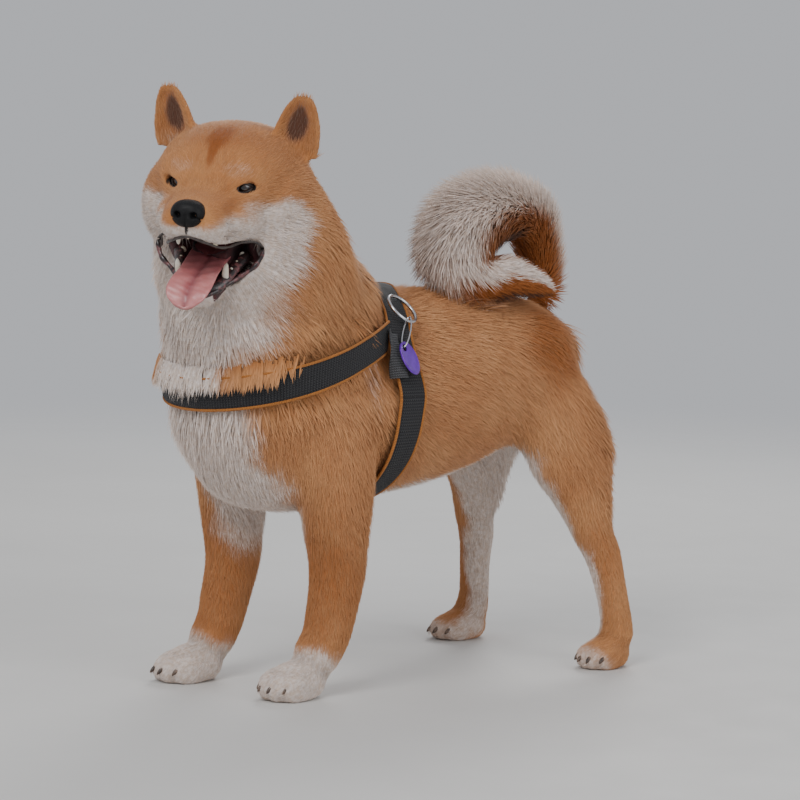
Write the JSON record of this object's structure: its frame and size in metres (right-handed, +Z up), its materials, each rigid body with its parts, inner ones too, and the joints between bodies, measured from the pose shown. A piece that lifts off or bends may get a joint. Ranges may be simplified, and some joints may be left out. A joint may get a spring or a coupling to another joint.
{
  "type": "museum model of a shiba inu",
  "caption": "Life-size red and cream shiba inu standing with open mouth, tongue out and curled tail, in a dark chest harness with a small oval tag.",
  "frame": {"origin": "centre of the footprint box at the floor", "axes": "+Z up, -Y the way the body faces, +X the animal's left side"},
  "size_m": [0.2626, 0.5802, 0.585],
  "materials": {
    "cream_coat": "dense fur, matte",
    "dark_skin": "damp leathery skin",
    "eye": "wet and glossy",
    "grey_webbing": "woven, matte",
    "orange_piping": "woven, matte",
    "red_coat": "dense fur, matte",
    "steel": "polished",
    "tongue": "moist",
    "tooth": "smooth",
    "violet_tag": "glossy",
    "webbing": "ribbed webbing, matte"
  },
  "bodies": {
    "root": {"chest_strap": "webbing", "chest_strap_trim_high": "orange_piping", "chest_strap_trim_low": "orange_piping", "ear_left": "red_coat", "ear_right": "red_coat", "eye_left": "eye", "eye_right": "eye", "front_leg_left": "red_coat", "front_leg_right": "red_coat", "front_paw_left": "cream_coat", "front_paw_right": "cream_coat", "girth_strap": "webbing", "girth_strap_trim_high": "orange_piping", "girth_strap_trim_low": "orange_piping", "harness_ring": "steel", "head": "red_coat", "hind_leg_left": "red_coat", "hind_leg_right": "red_coat", "hind_paw_left": "cream_coat", "hind_paw_right": "cream_coat", "lower_jaw": "cream_coat", "lower_teeth": "tooth", "name_tag": "violet_tag", "neck": "red_coat", "nose": "dark_skin", "strap_keeper_left": "grey_webbing", "strap_keeper_right": "grey_webbing", "tag_ring": "steel", "tail_arch": "cream_coat", "tail_root": "red_coat", "tail_tip": "cream_coat", "tongue": "tongue", "torso": "red_coat"}
  },
  "joints": []
}
